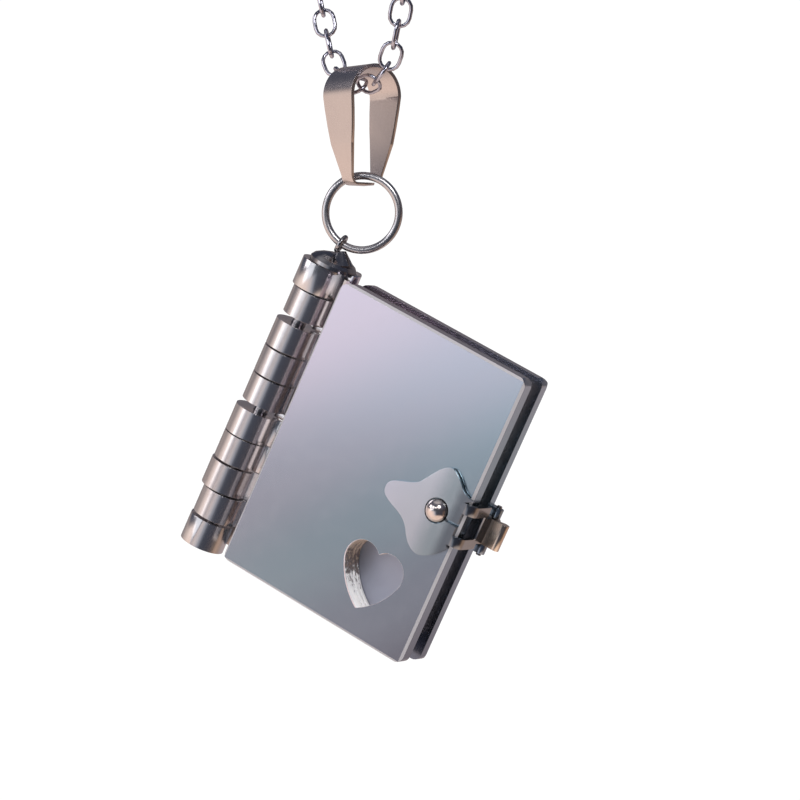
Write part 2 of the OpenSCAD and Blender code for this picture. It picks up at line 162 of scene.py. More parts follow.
def spread(tree, value, low, high, at_low, at_high):
    """Straight line from at_low, where the value is low, to at_high, where it is high."""
    n = tree.nodes.new("ShaderNodeMapRange")
    for socket, x in zip(n.inputs, (value, low, high, at_low, at_high)):
        wire(tree, socket, x)
    return n.outputs[0]


def blend(tree, share, a, b):
    """Colour a where the share is 0, colour b where it is 1."""
    n = tree.nodes.new("ShaderNodeMix")
    n.data_type = "RGBA"
    # The colour sockets of this node are its seventh and eighth
    for i, x in ((0, share), (6, a), (7, b)):
        wire(tree, n.inputs[i], x)
    return n.outputs[2]


def tints_along(tree, value, stops, interpolation="LINEAR"):
    """Colours along a value from 0 to 1, from rows of place and colour."""
    n = tree.nodes.new("ShaderNodeValToRGB")
    wire(tree, n.inputs[0], value)
    n.color_ramp.interpolation = interpolation
    cells = n.color_ramp.elements
    while len(cells) < len(stops):
        cells.new(0.5)
    for cell, (place, tint) in zip(cells, stops):
        cell.position = place
        cell.color = (*tint, 1)
    return n.outputs[0]


print("helpers for sums and colours ready")


# %% Patterns
def grain(tree, place, cells, detail, rough):
    """Cloudy noise from 0 to 1: its cells to the metre, its fine detail and how strong that is."""
    n = tree.nodes.new("ShaderNodeTexNoise")
    wire(tree, n.inputs["Vector"], place)
    wire(tree, n.inputs["Scale"], cells)
    wire(tree, n.inputs["Detail"], detail)
    wire(tree, n.inputs["Roughness"], rough)
    return n.outputs[0]


def drawn_out(tree, place, along):
    """Place whose third direction is shortened, so that noise on it makes long streaks."""
    n = tree.nodes.new("ShaderNodeVectorMath")
    n.operation = "MULTIPLY"
    wire(tree, n.inputs[0], place)
    n.inputs[1].default_value = (1.0, 1.0, along)
    return n.outputs[0]


def turned(tree, place, angle):
    """Place turned about the Y axis, which is the line through the book from front to back."""
    n = tree.nodes.new("ShaderNodeVectorRotate")
    n.rotation_type = "Y_AXIS"
    n.inputs["Angle"].default_value = angle
    wire(tree, n.inputs["Vector"], place)
    return n.outputs[0]


print("helpers for patterns ready")

# %% [markdown]
# ## Steel that has been handled
#
# Polished stainless steel isn't one colour. It has a fine brushing from the polishing wheel, hair
# scratches from keys and cloth, and clouds of tarnish that make it darker and duller. All nine
# metals of the locket have these four in different amounts. Nine separate trees could do it, but
# then a better scratch would have to be made nine times. One node group with named inputs does it
# once: each metal sets how much it has of each.

# %% Amounts of the steel surface
# Noise of the brushing, of the slow drift of the colour and of the tarnish: cells to the metre,
# fine detail, and how strong the detail is
BRUSH_NOISE, DRIFT_NOISE, TARNISH_NOISE = (9000.0, 2.0, 0.6), (220.0, 4.0, 0.6), (900.0, 5.0, 0.65)
# How much shorter the noise runs along a streak
BRUSH_DRAW, HAIR_DRAW = 0.04, 0.06
# Two fields of hair scratches that cross: heading in radians and cells to the metre
HAIR_FIELDS = ((0.6, 900.0), (-0.9, 1300.0))
HAIR_DETAIL = (6.0, 0.75)
# Where each noise begins to show, where it shows fully, and how much it is at these two
BRUSH_SHOWS, DRIFT_SHOWS = (0.3, 0.7, 0.0, 0.5), (0.35, 0.65, 0.0, 0.35)
TARNISH_SHOWS, HAIR_SHOWS = (0.5, 0.72, 0.0, 1.0), (0.62, 0.70, 0.0, 1.0)
# What tarnish, brushing and scratches add to the roughness
DULL_TARNISH, DULL_BRUSH, DULL_HAIR = 0.25, 0.2, 0.18
STEEL_INPUTS = (
    ("Vector", "NodeSocketVector", (0, 0, 0)),
    ("Base", "NodeSocketColor", (0.6, 0.6, 0.6, 1)),
    ("Dark", "NodeSocketColor", (0.3, 0.3, 0.3, 1)),
    ("Rough", "NodeSocketFloat", 0.25),
    ("Brush", "NodeSocketFloat", 0.3),
    ("Scratch", "NodeSocketFloat", 0.3),
    ("Stain", "NodeSocketFloat", 0.3),
)
STEEL_OUTPUTS = (
    ("Color", "NodeSocketColor"), ("Roughness", "NodeSocketFloat"), ("Height", "NodeSocketFloat"),
)
print("inputs of the steel surface", [key for key, kind, value in STEEL_INPUTS])


# %% Steel surface
def steel_surface():
    """Node group of the locket's metals: colour, roughness and height of a handled surface.

    colour = Base, turned towards Dark by tarnish, drift and brushing
    roughness = Rough + what tarnish, brushing and scratches add
    height = brushing - scratches
    """
    g = bpy.data.node_groups.new("metal_surface", "ShaderNodeTree")
    for key, kind, value in STEEL_INPUTS:
        g.interface.new_socket(name=key, in_out="INPUT", socket_type=kind).default_value = value
    for key, kind in STEEL_OUTPUTS:
        g.interface.new_socket(name=key, in_out="OUTPUT", socket_type=kind)
    given = g.nodes.new("NodeGroupInput").outputs
    result = g.nodes.new("NodeGroupOutput").inputs
    place = given["Vector"]

    brushing = grain(g, drawn_out(g, place, BRUSH_DRAW), *BRUSH_NOISE)
    drift = grain(g, place, *DRIFT_NOISE)
    tarnish = grain(g, place, *TARNISH_NOISE)
    hairs = []
    for heading, cells in HAIR_FIELDS:
        streaks = grain(g, drawn_out(g, turned(g, place, heading), HAIR_DRAW), cells, *HAIR_DETAIL)
        hairs.append(spread(g, streaks, *HAIR_SHOWS))
    hair = work_out(g, "MAXIMUM", *hairs)

    tarnished = work_out(g, "MULTIPLY", spread(g, tarnish, *TARNISH_SHOWS), given["Stain"], True)
    drifted = product(g, spread(g, drift, *DRIFT_SHOWS), given["Stain"])
    dirty = work_out(g, "ADD", tarnished, drifted, True)
    brushed = product(g, spread(g, brushing, *BRUSH_SHOWS), given["Brush"])
    scratched = product(g, hair, given["Scratch"])

    tint = blend(g, dirty, given["Base"], given["Dark"])
    tint = blend(g, brushed, tint, given["Dark"])
    rough = given["Rough"]
    for amount, dulls in ((dirty, DULL_TARNISH), (brushed, DULL_BRUSH), (scratched, DULL_HAIR)):
        rough = work_out(g, "ADD", rough, product(g, amount, dulls))
    height = work_out(g, "SUBTRACT", product(g, brushing, given["Brush"]), scratched)
    for key, value in (("Color", tint), ("Roughness", rough), ("Height", height)):
        wire(g, result[key], value)
    return g


STEEL = steel_surface()
print("steel surface", len(STEEL.nodes), "nodes")

# %% [markdown]
# ## The window's sawn wall and the covers' edges
#
# The heart window was sawn through the front cover and two pages. Its wall is painted with
# light: a painted warm reflection at the top, painted shade in the middle and a painted bright
# foot with ragged saw marks. A pale rim round the window is a painted highlight, and the cover's
# rounded outer edge is painted lighter and made duller than its face, in place of the light it
# catches. A second material on those faces would end in hard lines. Masks that are worked out
# from where a point lies, and from which way it faces, follow the window without a seam on all
# the leaves that it goes through.

# %% Place of the window
HEART_AT = book(13.2, 0.0, 21.2)
HEART_U, HEART_V = float(HEART_AT @ AXIS_U), float(HEART_AT @ AXIS_V)
# Radius that holds the whole window, and half of its height
HEART_R, HEART_HALF = 3.5 * MM, 3.0 * MM
FRONT = float(BOOK_AT[1])
# Depths where the window's wall begins, behind the cover's rounded rim, and where it ends
WALL_FROM, WALL_TO = FRONT + 0.12 * MM, FRONT + 2.66 * MM
# Depths over which the wall, the rim and the floor fade in or out
FADE_WALL, FADE_RIM, FADE_FLOOR = 0.08 * MM, 0.05 * MM, 0.03 * MM
# How far a face looks to the front or back, 1 on a flat cover and 0 on a wall, finds the rounded
# edges. The rim begins below 0.999 and is full at 0.97. The outer edge lies between 0.97 and 0.2
RIM_TURN, EDGE_TURN, SIDE_TURN = (0.97, 0.999), (0.90, 0.97), (0.2, 0.4)
print("heart window at", HEART_AT.round(4), "wall", round((WALL_TO - WALL_FROM) / MM, 2), "mm deep")


# %% Masks of the windowed leaves
def heart_masks(t, coord, place):
    """Masks of a windowed leaf, where light is painted: the window's wall, its rim, the leaf's
    rounded outer edge, and how far down the window a point lies, from 0 to 1.

    wall = near the window x behind the rim x before the floor
    rim = near the window x turned away from the front x not behind the rim
    edge = away from the window x turned partly away from the front x not behind the rim
    """
    split = t.nodes.new("ShaderNodeSeparateXYZ")
    wire(t, split.inputs[0], place)
    depth = split.outputs[1]
    beside = t.nodes.new("ShaderNodeCombineXYZ")
    for socket, x in zip(beside.inputs, (HEART_U, depth, -HEART_V)):
        wire(t, socket, x)
    away = t.nodes.new("ShaderNodeVectorMath")
    away.operation = "DISTANCE"
    wire(t, away.inputs[0], place)
    wire(t, away.inputs[1], beside.outputs[0])
    near = spread(t, away.outputs["Value"], HEART_R, HEART_R + FADE_RIM, 1.0, 0.0)
    far = work_out(t, "SUBTRACT", 1.0, near)
    facing = t.nodes.new("ShaderNodeSeparateXYZ")
    wire(t, facing.inputs[0], coord.outputs["Normal"])
    front = work_out(t, "ABSOLUTE", facing.outputs[1])

    behind_rim = spread(t, depth, WALL_FROM, WALL_FROM + FADE_WALL, 0.0, 1.0)
    before_floor = spread(t, depth, WALL_TO - FADE_FLOOR, WALL_TO, 1.0, 0.0)
    wall = product(t, near, behind_rim, before_floor)
    in_front = spread(t, depth, WALL_FROM, WALL_FROM + FADE_RIM, 1.0, 0.0)
    rim = product(t, spread(t, front, *RIM_TURN, 1.0, 0.0), in_front, near)
    shoulder = product(t, spread(t, front, *EDGE_TURN, 1.0, 0.0), spread(t, front, *SIDE_TURN, 0.0, 1.0))
    outside = spread(t, depth, WALL_FROM + FADE_WALL, WALL_FROM + FADE_WALL + FADE_RIM, 1.0, 0.0)
    edge = product(t, shoulder, outside, far)
    down = spread(t, split.outputs[2], HEART_HALF - HEART_V, -HEART_HALF - HEART_V, 0.0, 1.0)
    return wall, rim, edge, down


print("masks: wall, rim, edge, down")

# %% [markdown]
# ## How the wall, the rim and the knuckles take their finish
#
# The same leaf shows up to four finishes: its polished face, which on the covers carries a
# painted reflection, the sawn wall with its painted light, the rim with its painted highlight,
# and the knuckle that it turns on, which is brighter and rounder. They could be four materials on
# four sets of faces. Blending the colour, the gloss and the metal share inside one material keeps
# the leaf one piece of steel, as it is on the real locket.

# %% Finish and painted light of the sawn window
# Painted light on the sawn wall, from its top to its foot: a painted warm reflection, painted shade in
# the middle and a painted bright foot
SAWN_WALL_PAINTED_LIGHT = (
    (0.0, (0.86, 0.66, 0.52)), (0.25, (0.60, 0.47, 0.38)), (0.42, (0.16, 0.13, 0.13)),
    (0.55, (0.20, 0.18, 0.19)), (0.64, (0.92, 0.93, 0.96)), (1.0, (1.0, 1.0, 1.0)),
)
# Painted highlight on the window's rounded rim, pale and mostly matt
RIM_PAINTED_HIGHLIGHT = (0.98, 0.82, 0.83)
# Painted light on the rounded outer edge of the windowed leaves, in place of the light it catches
EDGE_PAINTED_LIGHT = (0.42, 0.40, 0.42)
# Noise of the saw's ragged marks, and how far it pushes the tints up and down the wall
SAW_NOISE, SAW_REACH = (2600.0, 4.0, 0.7), (0.3, 0.7, -0.22, 0.22)
SAWN_ROUGH = 0.55
# How matt each is, from 0 for bare metal to 1. The wall goes from 0.35 to 1 on its way down
WALL_MATT, RIM_MATT, EDGE_MATT = (0.3, 0.9, 0.35, 1.0), 0.9, 0.7


def sawn_finish(t, coord, place, tint, gloss):
    """Tint and gloss of a leaf with the window's painted light laid over them, and how matt each is."""
    wall, rim, edge, down = heart_masks(t, coord, place)
    ragged = spread(t, grain(t, place, *SAW_NOISE), *SAW_REACH)
    down = work_out(t, "ADD", down, ragged, True)
    tint = blend(t, wall, tint, tints_along(t, down, SAWN_WALL_PAINTED_LIGHT))
    tint = blend(t, rim, tint, RIM_PAINTED_HIGHLIGHT)
    tint = blend(t, edge, tint, EDGE_PAINTED_LIGHT)
    worn = work_out(t, "ADD", wall, work_out(t, "ADD", rim, edge), True)
    gloss = spread(t, worn, 0.0, 1.0, gloss, SAWN_ROUGH)
    matt = product(t, wall, spread(t, down, *WALL_MATT))
    matt = work_out(t, "ADD", matt, product(t, rim, RIM_MATT))
    matt = work_out(t, "ADD", matt, product(t, edge, EDGE_MATT))
    return tint, gloss, matt


print("sawn wall in", len(SAWN_WALL_PAINTED_LIGHT), "painted_light")

# %% [markdown]
# ## One metal
#
# Each metal is a plain metallic shader fed by the steel surface. The surface is turned with the
# book, so that its brushing runs along the spine. A wide polished plate mirrors a different part
# of the room at each end, and so the photograph's cover goes from lilac to blue. Reflections
# alone would do that for one view only. A painted reflection, a soft change of tint across the
# plate, keeps it from every side.

# %% Where the finish changes
# Where the leaves end and their knuckles begin, and how softly the finish changes there
BESIDE_SPINE, SPINE_FADE = 0.2 * MM, 0.05 * MM
SPINE_EDGE = float(BOOK_AT @ AXIS_U) - BESIDE_SPINE
# Colour and roughness of the knuckles
KNUCKLE_TINT, KNUCKLE_ROUGH = (0.64, 0.61, 0.61), 0.19


def share_between(t, coord, start, end):
    """How far a point P lies on the way between two places, from 0 to 1.

    share = (P - start).way/way.way, with way = end - start
    """
    way = end - start
    n = t.nodes.new("ShaderNodeVectorMath")
    n.operation = "DOT_PRODUCT"
    wire(t, n.inputs[0], coord.outputs["Object"])
    n.inputs[1].default_value = tuple(way / (way @ way))
    return work_out(t, "SUBTRACT", n.outputs["Value"], float(start @ way / (way @ way)), True)


def knuckle_mask(t, place):
    """1 on the knuckles, which lie beyond the spine edge of the leaves, and 0 on the leaves."""
    split = t.nodes.new("ShaderNodeSeparateXYZ")
    wire(t, split.inputs[0], place)
    return spread(t, split.outputs[0], SPINE_EDGE - SPINE_FADE, SPINE_EDGE + SPINE_FADE, 1.0, 0.0)


print("knuckles begin", round(BESIDE_SPINE / MM, 2), "mm beyond the leaves' edge")

# %% One metal
# Depth of the steel's relief
RELIEF = 0.02 * MM


def metal(name, base, dark, rough, brush, scratch, stain, bump, turn=LEAN, painted_light=None, leaf=False,
          windowed=False, metallic=1.0):
    """Material of one metal of the locket.

    base and dark are its clean and its tarnished colour, and turn is the way its brushing leans.
    The colour that may change between two places, given as the places and rows of colour, is a
    painted reflection. A leaf has brighter knuckles, and a windowed one the finishes of the sawn
    window, with their painted light.
    """
    m = bpy.data.materials.new(name)
    m.use_nodes = True
    m.diffuse_color = (*base, 1)
    t = m.node_tree
    shader = t.nodes["Principled BSDF"].inputs
    shader["Metallic"].default_value = metallic
    coord = t.nodes.new("ShaderNodeTexCoord")
    place = turned(t, coord.outputs["Object"], -turn)
    steel = t.nodes.new("ShaderNodeGroup")
    steel.node_tree = STEEL
    tint, gloss = base, rough
    if painted_light:
        start, end, stops = painted_light
        tint = tints_along(t, share_between(t, coord, start, end), stops, "EASE")
    if leaf:
        knuckle = knuckle_mask(t, place)
        tint = blend(t, knuckle, tint, KNUCKLE_TINT)
        gloss = spread(t, knuckle, 0.0, 1.0, rough, KNUCKLE_ROUGH)
        solid = spread(t, knuckle, 0.0, 1.0, metallic, 1.0)
        if windowed:
            tint, gloss, matt = sawn_finish(t, coord, place, tint, gloss)
            solid = work_out(t, "SUBTRACT", solid, matt, True)
        wire(t, shader["Metallic"], solid)
    amounts = (("Vector", place), ("Base", tint), ("Dark", dark), ("Rough", gloss), ("Brush", brush),
               ("Scratch", scratch), ("Stain", stain))
    for key, value in amounts:
        wire(t, steel.inputs[key], value)
    relief = t.nodes.new("ShaderNodeBump")
    relief.inputs["Strength"].default_value = bump
    relief.inputs["Distance"].default_value = RELIEF
    wire(t, relief.inputs["Height"], steel.outputs["Height"])
    wire(t, shader["Base Color"], steel.outputs["Color"])
    wire(t, shader["Roughness"], steel.outputs["Roughness"])
    wire(t, shader["Normal"], relief.outputs[0])
    return m


print("a metal's relief is", RELIEF / MM, "mm deep")

# %% [markdown]
# ## The painted reflections across the cover and the latch
#
# The cover's painted reflection goes from lilac near the spine through blue to a dark lower
# corner. The latch's painted reflection is a pale lilac on the plate, turns to slate where the
# strap bends round the fore-edge, and is warm on the finger roll behind, after the parts of the
# room that they mirror. Each is a short row of colours between two places on the book.

# %% Painted reflections of the cover and the latch
# Painted reflection across the cover, from near the spine to the dark lower corner
COVER_PAINTED_REFLECTION = (
    book(-1, 0, 6), book(22, 0, 24),
    ((0.0, (0.53, 0.475, 0.54)), (0.33, (0.43, 0.45, 0.515)), (0.56, (0.345, 0.435, 0.49)),
     (0.80, (0.30, 0.34, 0.405)), (1.0, (0.20, 0.21, 0.26))),
)
# Painted reflection across the latch: lilac plate, slate and gold-brown round the bend, warm finger roll
LATCH_PAINTED_REFLECTION = (
    book(10, 0, 18), book(22, 0, 18),
    ((0.0, (0.76, 0.755, 0.84)), (0.40, (0.72, 0.74, 0.79)), (0.60, (0.42, 0.49, 0.52)),
     (0.69, (0.20, 0.23, 0.26)), (0.775, (0.24, 0.25, 0.27)), (0.83, (0.55, 0.45, 0.36)),
     (1.0, (0.90, 0.75, 0.62))),
)
print("tints: cover", len(COVER_PAINTED_REFLECTION[2]), "latch", len(LATCH_PAINTED_REFLECTION[2]))

# %% [markdown]
# ## The nine metals
#
# The pieces are all steel, but not equally clean. The covers and the latch were polished most and
# hardly show any brushing. The pages are duller, and their warm brown is a painted reflection of
# the warm light in the gap between the covers. The floor page's lilac blue is a painted
# reflection like the cover's. The pins and the chain are darker, and the bail is a warm, faintly
# brushed strip. Each row says how much of everything a piece has.

# %% The metals
LOOKS = {
    "cover": metal("cover_steel", base=(0.50, 0.535, 0.60), dark=(0.46, 0.47, 0.51), rough=0.20,
                   brush=0.08, scratch=0.10, stain=0.06, bump=0.02, painted_light=COVER_PAINTED_REFLECTION,
                   leaf=True, windowed=True),
    # Painted reflection: the pages' warm brown stands in for the warm light in the gap between the
    # covers
    "page": metal("page_steel", base=(0.60, 0.50, 0.48), dark=(0.40, 0.32, 0.31), rough=0.22,
                  brush=0.15, scratch=0.15, stain=0.15, bump=0.03, leaf=True, windowed=True,
                  metallic=0.8),
    # Painted reflection: the floor page's lilac blue copies the cover's mirrored lilac
    "floor_page": metal("floor_page_steel", base=(0.36, 0.375, 0.45), dark=(0.30, 0.30, 0.36),
                        rough=0.45, brush=0.15, scratch=0.15, stain=0.15, bump=0.03, leaf=True,
                        metallic=0.65),
    "pin": metal("pin_steel", base=(0.34, 0.33, 0.34), dark=(0.16, 0.15, 0.15), rough=0.14,
                 brush=0.1, scratch=0.3, stain=0.4, bump=0.06),
    "latch": metal("latch_steel", base=(0.78, 0.77, 0.84), dark=(0.55, 0.52, 0.55), rough=0.19,
                   brush=0.06, scratch=0.12, stain=0.08, bump=0.02, painted_light=LATCH_PAINTED_REFLECTION),
    "ball": metal("stud_steel", base=(0.70, 0.62, 0.59), dark=(0.36, 0.28, 0.25), rough=0.19,
                  brush=0.0, scratch=0.2, stain=0.2, bump=0.02),
    "bail": metal("bail_strip", base=(0.62, 0.56, 0.54), dark=(0.46, 0.40, 0.40), rough=0.22,
                  brush=0.3, scratch=0.12, stain=0.15, bump=0.015, turn=0.0),
    "ring": metal("ring_wire", base=(0.54, 0.52, 0.53), dark=(0.34, 0.32, 0.32), rough=0.24,
                  brush=0.05, scratch=0.2, stain=0.3, bump=0.01, turn=0.0),
    "chain": metal("chain_wire", base=(0.48, 0.47, 0.54), dark=(0.22, 0.22, 0.28), rough=0.12,
                   brush=0.2, scratch=0.3, stain=0.3, bump=0.04, turn=0.0),
}
print("metals", sorted(LOOKS))

# %% [markdown]
# ## Worn edges
#
# Polishing takes the sharpness off every edge of a plate, and that thin rounding is what catches
# the light and makes metal look real. It could be modelled in the solids, at the cost of many
# faces. A bevel on a copy of the node's own faces is lighter, and its width can be tuned by eye.
# The solids come as loose triangles, so the copy is first joined along its seams and its flat
# faces are made whole. The weighted normals then keep the wide faces flat and let only the bevel
# turn. The bail is rounded on its outer corners alone, because the ring swings in its fold.

# %% Rounded copies
# Angle between two faces from which their edge counts as sharp, and up to which they are one flat
SHARP, FLAT = math.radians(35), math.radians(0.5)
WELD = 1e-6
BEVEL_STEPS = 2
NORMAL_WEIGHT = 90


def joined_mesh(source, outer_only):
    """Copy of a node's mesh with its points welded and its flats whole; outer corners marked."""
    mesh = source.data.copy()
    b = bmesh.new()
    b.from_mesh(mesh)
    bmesh.ops.remove_doubles(b, verts=b.verts, dist=WELD)
    bmesh.ops.dissolve_limit(b, angle_limit=FLAT, verts=b.verts, edges=b.edges)
    if outer_only:
        weight = b.edges.layers.float.new("bevel_weight_edge")
        for e in b.edges:
            sharp = len(e.link_faces) == 2 and e.calc_face_angle(0.0) > SHARP
            e[weight] = 1.0 if sharp and e.is_convex else 0.0
    b.to_mesh(mesh)
    b.free()
    mesh.polygons.foreach_set("use_smooth", np.ones(len(mesh.polygons), bool))
    return mesh


def worn_copy(node, width, material, outer_only):
    """Copy of a node with its sharp edges rounded, in the node's place and on its body."""
    mesh = joined_mesh(frame["nodes"][node], outer_only)
    mesh.materials.clear()
    mesh.materials.append(material)
    obj = bpy.data.objects.new(node + "_worn", mesh)
    scene.collection.objects.link(obj)
    bevel = obj.modifiers.new("edges", "BEVEL")
    bevel.width = width * MM
    bevel.segments = BEVEL_STEPS
    bevel.limit_method = "WEIGHT" if outer_only else "ANGLE"
    bevel.angle_limit = SHARP
    bevel.use_clamp_overlap = True
    bevel.harden_normals = False
    normals = obj.modifiers.new("normals", "WEIGHTED_NORMAL")
    normals.keep_sharp = False
    normals.weight = NORMAL_WEIGHT
    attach(obj, body_of_node[node])
    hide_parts(node)
    return obj


print("bevel in", BEVEL_STEPS, "steps on edges over", round(math.degrees(SHARP)), "degrees")

# %% The plates
# Each plate: node, width of the rounding in millimetres, metal, slot, outer corners alone
PLATES = (
    ("front_cover", 0.12, "cover", "cover_steel", False),
    ("back_cover", 0.08, "cover", "cover_steel", False),
    ("page_1", 0.04, "page", "page_steel", False),
    ("page_2", 0.04, "page", "page_steel", False),
    ("page_3", 0.04, "floor_page", "page_steel", False),
    ("latch", 0.07, "latch", "latch_steel", False),
    ("bail", 0.06, "bail", "bail_strip", True),
)
for node, width, look_key, slot_name, outer_only in PLATES:
    plate = worn_copy(node, width, LOOKS[look_key], outer_only)
    print(plate.name, len(plate.data.polygons), "faces before the bevel,", width, "mm rounding")

# %% [markdown]
# ## The turned and round pieces
#
# The rod with its cap and eye, the latch's pin, the ball, the ring and the clasp are turned or
# bent from wire, so they have no sharp plate edges. Their solids stay as they are and only take
# their metal.

# %% Round pieces
ROUND_PIECES = (
    ("hinge_pin", "pin"), ("latch_pin", "pin"), ("ball_stud", "ball"), ("jump_ring", "ring"),
    ("chain_clasp", "chain"),
)
for node, look_key in ROUND_PIECES:
    for held in frame["nodes"][node].material_slots:
        held.material = LOOKS[look_key]
print("round pieces", [node for node, look_key in ROUND_PIECES])

# %% [markdown]
# ## The way the chain takes
#
# A chain on a neck lies in one smooth line. Here each half of it starts in the bail with a small
# bend, runs straight up and outwards, and closes in a large bend under the clasp. It could be
# drawn as a free curve, but then its length would only be roughly right. Two arcs and a straight
# line are worked out from the chain's length, so that the two halves always meet at the clasp.
# The sizes are those of the part's source, in millimetres.

# %% Path of the chain
BEND_R, STRAND_LEAN, CHAIN_TURN = 4.6, math.radians(18.5), math.radians(-24.2)
CHAIN_LEN, CLASP_R, CLASP_HALF = 420.0, 1.6, 6.6
# How far the small bend reaches sideways and upwards, and how long it is
BEND_Q = BEND_R * math.cos(STRAND_LEAN)
BEND_Z = BEND_R * (1 - math.sin(STRAND_LEAN))
BEND_S = BEND_R * (math.pi / 2 - STRAND_LEAN)
# The strand's length and the top bend's radius, from the half chain that is left. The top bend
# turns through TOP_K, and grows as the strand leans out
TOP_K = math.pi / 2 + STRAND_LEAN
CHAIN_REST = CHAIN_LEN / 2 - BEND_S - BEND_Q / math.cos(STRAND_LEAN) * TOP_K
STRAND_L = CHAIN_REST / (1 + math.tan(STRAND_LEAN) * TOP_K)
TOP_R = (BEND_Q + STRAND_L * math.sin(STRAND_LEAN)) / math.cos(STRAND_LEAN)
# Heights of the path's top, under the clasp, and of its lowest point, in the bail
PATH_TOP = CLASP_R + CLASP_HALF**2 / (2 * TOP_R)
PATH_LOW = PATH_TOP - BEND_Z - STRAND_L * math.cos(STRAND_LEAN) - TOP_R * (1 + math.sin(STRAND_LEAN))


def on_path(s):
    """Sideways place, height and heading at each distance s along the path: an arc of radius
    BEND_R, then a straight line, then an arc of radius TOP_R."""
    d = s - BEND_S
    straight = math.pi / 2 - STRAND_LEAN
    heading = [s / BEND_R, np.full_like(s, straight), straight + (d - STRAND_L) / TOP_R]
    x = [BEND_R * np.sin(heading[0]), BEND_Q + d * math.sin(STRAND_LEAN), TOP_R * np.sin(heading[2])]
    z = [PATH_LOW + BEND_R * (1 - np.cos(heading[0])), PATH_LOW + BEND_Z + d * math.cos(STRAND_LEAN),
         PATH_TOP - TOP_R - TOP_R * np.cos(heading[2])]
    where = [d <= 0, d <= STRAND_L, d > STRAND_L]
    return np.select(where, x), np.select(where, z), np.select(where, heading)


print("strand", round(STRAND_L, 1), "mm, top bend", round(TOP_R, 1), "mm, lowest", round(PATH_LOW, 1))

# %% [markdown]
# ## Chain links
#
# A cable chain is one link over and over, each a quarter turn from the last. The links' solids
# are far finer than such a small thing needs, and copying one link as an object would leave over
# two hundred objects in the file. Each strand is made as one mesh instead: a six-sided wire is
# carried round the oval of a link, and the whole link is set down at every step of the path, for
# all the links at once. As on a real chain, the links hook into each other. They stay about a
# tenth of a millimetre apart.

# %% One link
LINK_L, LINK_W, WIRE, PITCH = 2.69, 2.0, 0.33, 1.87
LINKS_SIDE = int((CHAIN_LEN / 2 - CLASP_HALF) / PITCH - 0.5)
# Sides of the wire, and steps round each end of the oval
WIRE_SIDES, END_STEPS = 6, 7


def link_points():
    """Points of one link: C(phi) + WIRE/2 (cos(theta) N(phi) + sin(theta) Z), where C runs round
    the oval and N is its outward direction, by phi in rows and theta in columns."""
    r, half = (LINK_W - WIRE) / 2, (LINK_L - LINK_W) / 2
    near_end = np.linspace(-0.5, 0.5, END_STEPS + 1)
    phi = (np.concatenate([near_end, near_end + 1]) * math.pi)[:, None]
    shift = np.repeat([half, -half], END_STEPS + 1)[:, None]
    theta = (np.arange(WIRE_SIDES) * 2 * math.pi / WIRE_SIDES)[None, :]
    reach = r + WIRE / 2 * np.cos(theta)
    x = shift + reach * np.cos(phi)
    return x, reach * np.sin(phi), np.broadcast_to(WIRE / 2 * np.sin(theta), x.shape)


def link_faces(around, across):
    """Quads between neighbouring points of a ring that closes both round the oval and the wire."""
    a, b = np.meshgrid(np.arange(around), np.arange(across), indexing="ij")
    a1, b1 = (a + 1) % around, (b + 1) % across
    corners = (a * across + b, a1 * across + b, a1 * across + b1, a * across + b1)
    return np.stack(corners, -1).reshape(-1, 4)


LINK_X, LINK_Y, LINK_Z = link_points()
LINK_FACES = link_faces(*LINK_X.shape)
print("one link", LINK_X.size, "points", len(LINK_FACES), "faces,", LINKS_SIDE, "links a side")

# %% [markdown]
# ## The two strands
#
# Every second link is rolled by a quarter turn, which is what lets links of one size hook into
# each other. The links could be turned one by one with matrices. Whole arrays of coordinates are
# turned instead, two at a time, because one line then turns every link.

# %% The two strands
def swung(a, b, angle):
    """Two coordinates turned by an angle: (a cos - b sin, a sin + b cos)."""
    return a * np.cos(angle) - b * np.sin(angle), a * np.sin(angle) + b * np.cos(angle)


def chain_strand(name, side):
    """One strand of links, on the right with side 1 and on the left with side -1.

    P = place(i) + heading(i)(roll(i) link), every second link rolled the other way, and the
    whole strand turned about the upright line through the bail.
    """
    i = np.arange(LINKS_SIDE)
    path_x, path_z, heading = (a[:, None, None] for a in on_path((i + 0.5) * PITCH))
    roll = (np.where(i % 2 == 0, -1, 1) * side * math.pi / 4)[:, None, None]
    y, z = swung(LINK_Y, LINK_Z, roll)
    x, z = swung(LINK_X, z, side * heading)
    x, z = x + side * path_x, z + path_z
    x, y = swung(x, y, CHAIN_TURN)
    points = np.stack([x, y, z], -1).reshape(-1, 3) * MM
    faces = (LINK_FACES[None] + (i * LINK_X.size)[:, None, None]).reshape(-1, 4)
    mesh = bpy.data.meshes.new(name)
    mesh.from_pydata(points, [], faces.tolist())
    mesh.polygons.foreach_set("use_smooth", np.ones(len(mesh.polygons), bool))
    mesh.materials.append(LOOKS["chain"])
    obj = bpy.data.objects.new(name, mesh)
    scene.collection.objects.link(obj)
    return obj


for node, side in (("chain_left", -1), ("chain_right", 1)):
    strand = chain_strand(node + "_links", side)
    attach(strand, body_of_node[node])
    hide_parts(node)
    print(strand.name, LINKS_SIDE, "links", len(strand.data.polygons), "faces")

# %% [markdown]
# ## The room that the metals mirror
#
# A mirror has no look of its own: what makes the photograph's knuckles striped and its bail warm
# is the room around them, which the photograph doesn't show. Many lamps and screens could stand
# in for it. Here the world itself is the room, as rows of colours round the horizon and up the
# wall, because each can be tuned without moving the others. Only glossy rays see it. All other
# light comes from an even white, which keeps the floor pale and the shadows soft.

